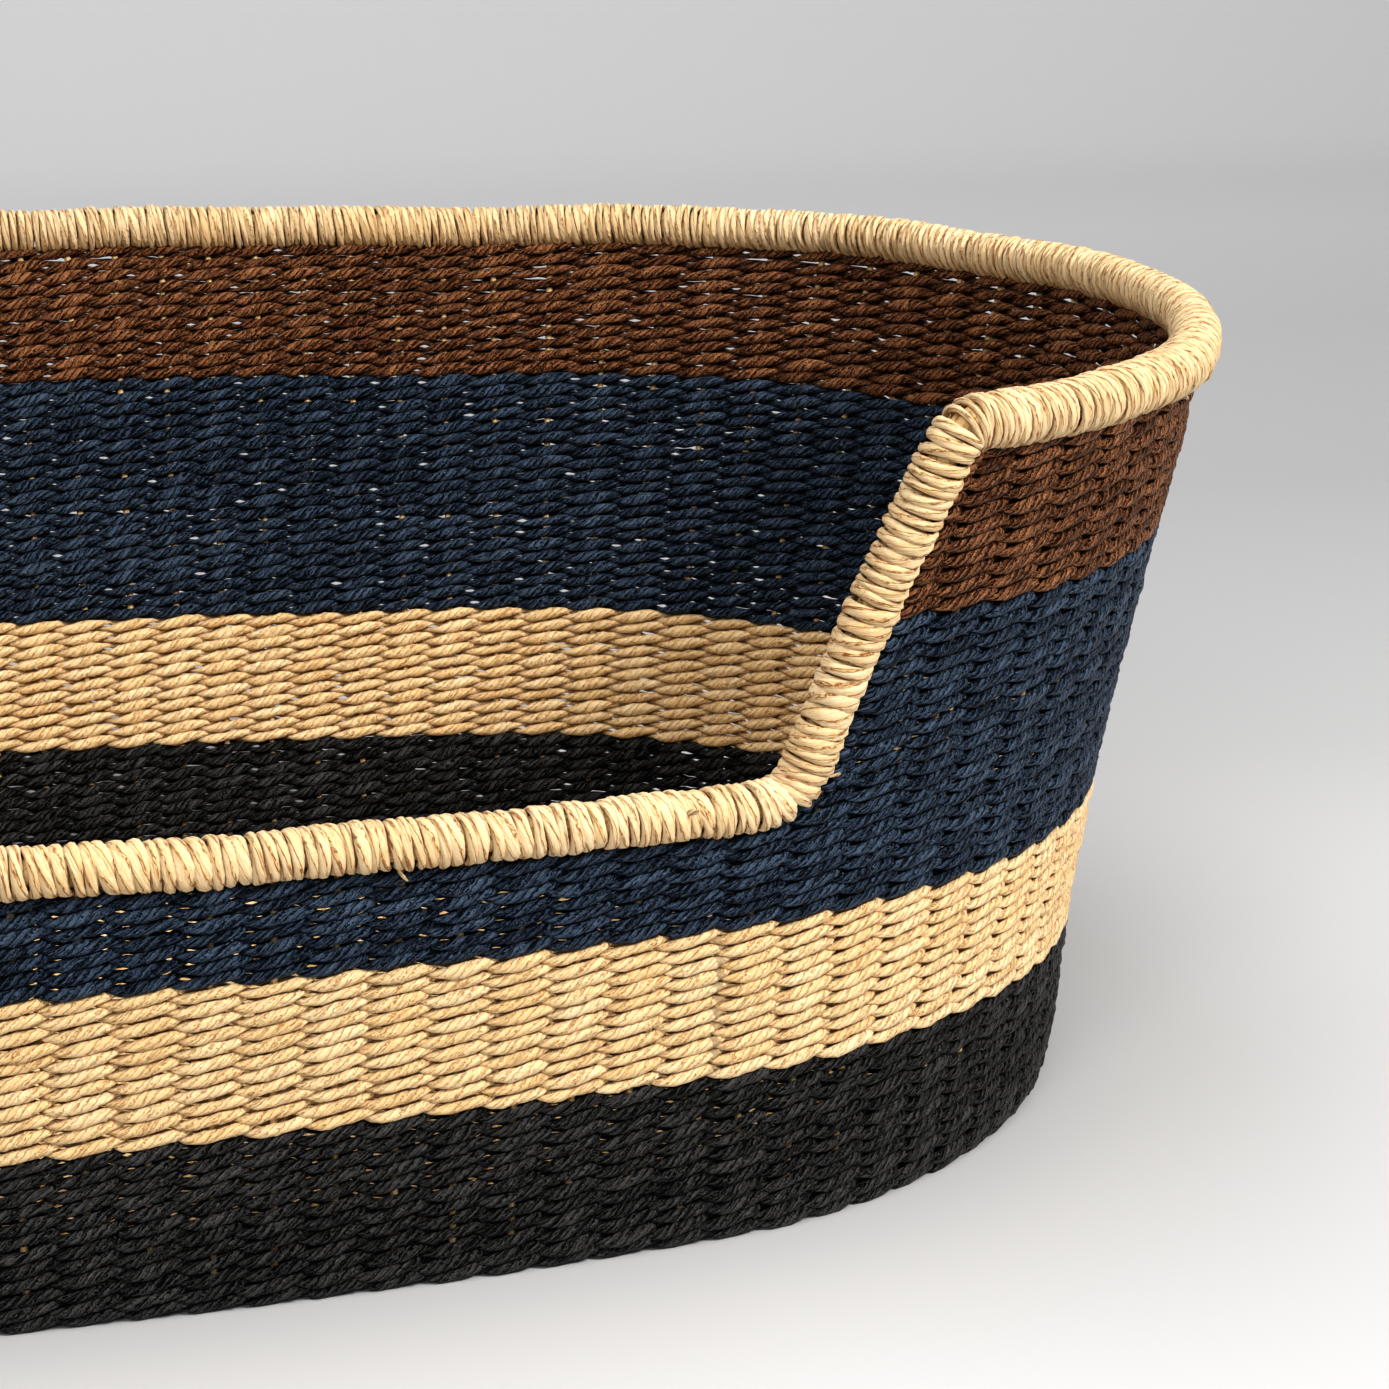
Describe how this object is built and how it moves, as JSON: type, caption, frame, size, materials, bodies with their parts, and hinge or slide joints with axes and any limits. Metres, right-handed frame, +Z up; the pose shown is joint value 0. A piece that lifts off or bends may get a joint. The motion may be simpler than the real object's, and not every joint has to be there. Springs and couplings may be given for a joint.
{
  "type": "pet bed basket",
  "caption": "Oval twined straw basket in dyed bands with a whipped rim and a low entry in its front wall, used as a pet's bed.",
  "frame": {"origin": "on the ground under the middle of the basket", "axes": "+X along the basket's length, -Y towards the low entry, +Z up"},
  "size_m": [0.8175, 0.4639, 0.2496],
  "materials": {
    "base_straw": "natural twined grass straw",
    "natural_straw": "natural twined grass straw",
    "black_straw": "black-dyed twined grass straw",
    "navy_straw": "navy-dyed twined grass straw",
    "brown_straw": "brown-dyed twined grass straw",
    "stake_straw": "plain grass stalk",
    "rim_straw": "whipped natural grass straw"
  },
  "bodies": {
    "root": {"base_middle_weft_lower": "base_straw", "base_middle_weft_upper": "base_straw", "base_ring_weft_lower": "black_straw", "base_ring_weft_upper": "black_straw", "black_weft_outer": "black_straw", "black_weft_inner": "black_straw", "natural_weft_outer": "natural_straw", "natural_weft_inner": "natural_straw", "navy_lower_weft_outer": "navy_straw", "navy_lower_weft_inner": "navy_straw", "navy_upper_weft_outer": "navy_straw", "navy_upper_weft_inner": "navy_straw", "brown_weft_outer": "brown_straw", "brown_weft_inner": "brown_straw", "cross_stakes": "stake_straw", "right_end_stakes": "stake_straw", "left_end_stakes": "stake_straw", "rim_core": "stake_straw", "rim_whipping": "rim_straw", "strand_ends": "rim_straw"}
  },
  "joints": []
}
